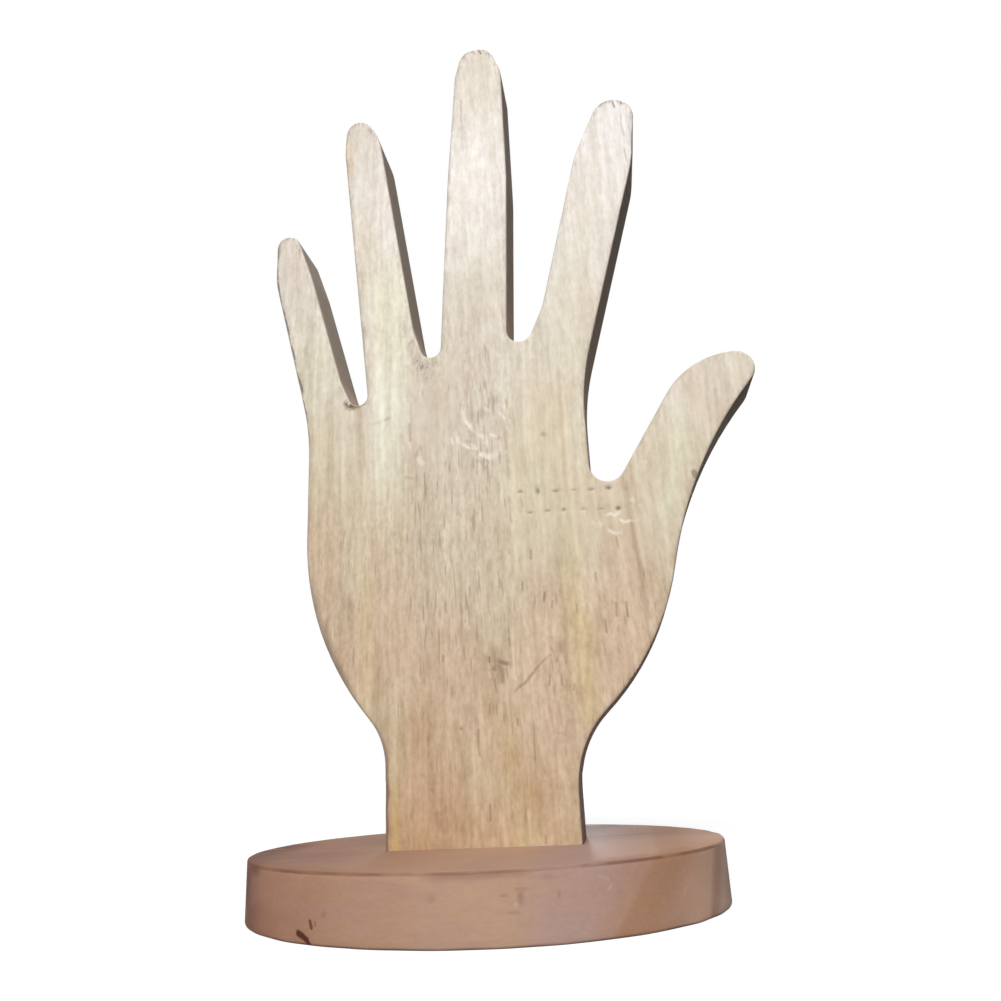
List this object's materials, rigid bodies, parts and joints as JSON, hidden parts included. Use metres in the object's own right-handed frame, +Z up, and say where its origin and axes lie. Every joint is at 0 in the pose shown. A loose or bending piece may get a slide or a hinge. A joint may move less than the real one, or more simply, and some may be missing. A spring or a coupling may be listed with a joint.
{
  "type": "hand jewelry display",
  "caption": "Flat open hand sawn from a wooden plank, standing upright in an oval wooden base, for displaying rings, bracelets and chains.",
  "frame": {"origin": "middle of the base's underside, on the surface that it stands on", "axes": "+Z up along the hand, the flat front of the hand faces -Y, +X to the viewer's right, where the thumb is"},
  "size_m": [0.1626, 0.0998, 0.297],
  "materials": {
    "pale_wood": "smooth sanded pale straw wood with short dark pores, thin matt lacquer",
    "brown_wood": "smooth pinkish brown wood, satin lacquer",
    "screw_steel": "zinc plated"
  },
  "bodies": {
    "root": {"hand_board": "pale_wood", "oval_base": "brown_wood", "screw_left": "screw_steel", "screw_right": "screw_steel"}
  },
  "joints": []
}
